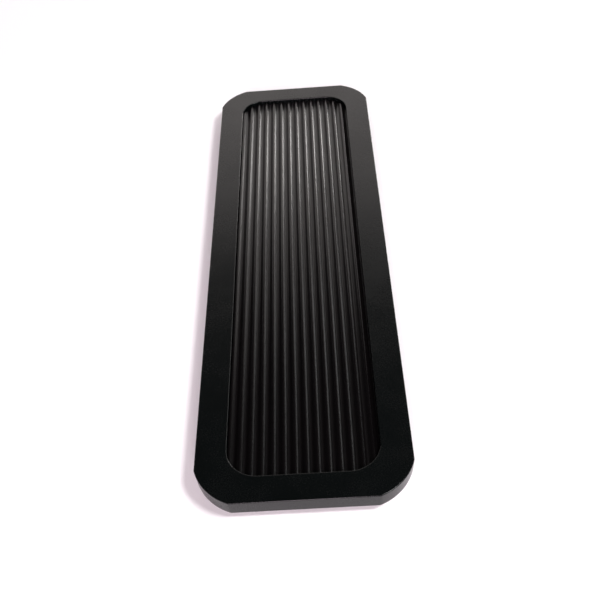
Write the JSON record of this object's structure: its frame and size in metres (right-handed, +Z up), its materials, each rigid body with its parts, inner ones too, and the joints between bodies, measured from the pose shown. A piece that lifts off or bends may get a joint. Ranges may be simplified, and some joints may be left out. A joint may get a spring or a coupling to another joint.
{
  "type": "sustain pedal",
  "caption": "Flat full-foot sustain pedal: a thin cut-corner footplate with a ribbed rubber tread, hinged at its far end over a sprung steel base with a leaf switch.",
  "frame": {"origin": "on the ground under the middle of the footplate", "axes": "+X to the right, +Y towards the hinged far end where the cord leaves, +Z up"},
  "size_m": [0.088, 0.294, 0.0115],
  "materials": {
    "black_enamel": "fine satin black enamel on cast metal",
    "tread_rubber": "ribbed black rubber with a slight brown cast",
    "zinc_sheet": "zinc-plated steel sheet",
    "bracket_steel": "pressed zinc-plated steel",
    "pin_steel": "ground steel",
    "screw_steel": "plated screw steel",
    "spring_steel": "drawn spring wire",
    "foot_rubber": "matt black rubber",
    "nylon": "natural nylon",
    "phenolic": "brown paper phenolic board",
    "blade_bronze": "phosphor bronze strip",
    "contact_silver": "silver contact"
  },
  "bodies": {
    "base": {"base_plate": "zinc_sheet", "blade_spacer": "phenolic", "bump_stop_left": "foot_rubber", "bump_stop_right": "foot_rubber", "clamp_screw_far": "screw_steel", "clamp_screw_near": "screw_steel", "clamp_strip": "bracket_steel", "cord_clamp": "bracket_steel", "cord_clamp_screw_left": "screw_steel", "cord_clamp_screw_right": "screw_steel", "cord_gland": "foot_rubber", "hinge_bracket_left": "bracket_steel", "hinge_bracket_right": "bracket_steel", "hinge_screw_left": "screw_steel", "hinge_screw_right": "screw_steel", "keeper_bracket": "bracket_steel", "keeper_screw_left": "screw_steel", "keeper_screw_right": "screw_steel", "lower_blade": "blade_bronze", "lower_contact": "contact_silver", "pin_clip_left": "spring_steel", "pin_clip_right": "spring_steel", "pivot_pin_left": "pin_steel", "pivot_pin_right": "pin_steel", "return_spring_left": "spring_steel", "return_spring_right": "spring_steel", "rubber_foot_far_left": "foot_rubber", "rubber_foot_far_right": "foot_rubber", "rubber_foot_middle_left": "foot_rubber", "rubber_foot_middle_right": "foot_rubber", "rubber_foot_near_left": "foot_rubber", "rubber_foot_near_right": "foot_rubber", "spring_cup_left": "nylon", "spring_cup_right": "nylon", "switch_block": "phenolic"},
    "pedal": {"footplate": "black_enamel", "tread_pad": "tread_rubber", "catch_plate": "bracket_steel", "catch_screw_left": "screw_steel", "catch_screw_right": "screw_steel", "actuator_peg": "nylon"},
    "switch_blade": {"upper_blade": "blade_bronze", "upper_contact": "contact_silver"}
  },
  "joints": [
    {"name": "pedal_hinge", "type": "hinge", "parent": "base", "child": "pedal", "pos_m": [0, 0.1395, 0.0062], "axis": [1, 0, 0], "range_deg": [0, 0.57], "stiffness_Nm_per_rad": 140, "springref_deg": -0.8, "deforming": ["return_spring_left", "return_spring_right"]},
    {"name": "blade_flex", "type": "hinge", "parent": "base", "child": "switch_blade", "pos_m": [0.0368, 0.016, 0.0064], "axis": [1, 0, 0], "range_deg": [-1.04, 0], "stiffness_Nm_per_rad": 0.5}
  ],
  "couplings": [
    {"joint": "blade_flex", "follows": "pedal_hinge", "ratio": -1.8068}
  ]
}
